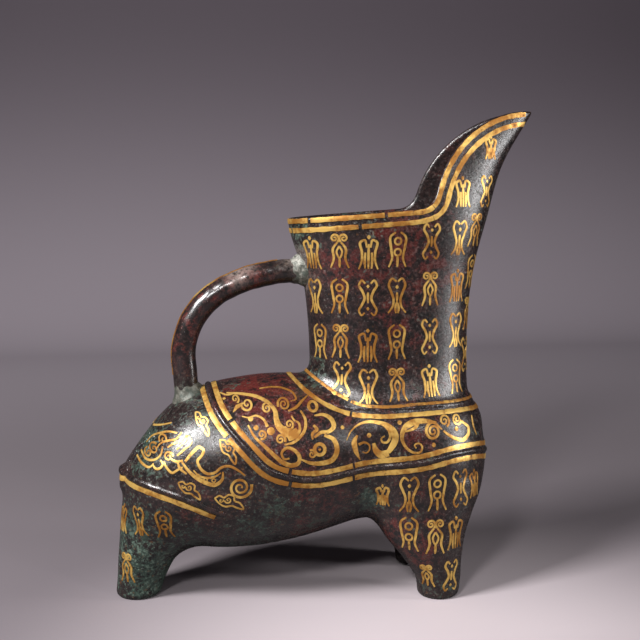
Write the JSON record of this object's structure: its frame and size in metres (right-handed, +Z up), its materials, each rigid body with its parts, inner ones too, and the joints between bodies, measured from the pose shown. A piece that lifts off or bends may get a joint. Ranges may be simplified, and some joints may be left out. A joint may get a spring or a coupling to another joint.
{
  "type": "tripod pouring vessel",
  "caption": "Hollow bronze tripod pouring vessel with an animal-like barrel, tall oval neck, upright leaf-shaped spout, loop handle and gold border strips.",
  "frame": {"origin": "centre of the part's box on the plane that the three feet stand on", "axes": "+Z up, +X towards the spout, +Y to the vessel's left"},
  "size_m": [0.2325, 0.0872, 0.2636],
  "materials": {
    "bronze": "patinated dark brown bronze with red and green patches",
    "gold": "worn polished gold",
    "solder": "dull grey-green solder"
  },
  "bodies": {
    "root": {"body_shell": "bronze", "neck_spout": "bronze", "rear_leg": "bronze", "front_leg_left": "bronze", "front_leg_right": "bronze", "handle": "bronze", "handle_back_solder": "solder", "handle_neck_solder": "solder", "rim_strip_upper": "gold", "rim_strip_lower": "gold", "spout_strips_outer": "gold", "spout_strips_inner": "gold", "saddle_strip_inner": "gold", "saddle_strip_outer": "gold", "belt_strip_upper": "gold", "belt_strip_lower": "gold", "rump_strip": "gold", "neck_foot_strip_rear": "gold", "neck_foot_strip_front": "gold", "neck_fine_strip_rear": "gold", "neck_fine_strip_front": "gold", "handle_strip": "gold"}
  },
  "joints": []
}
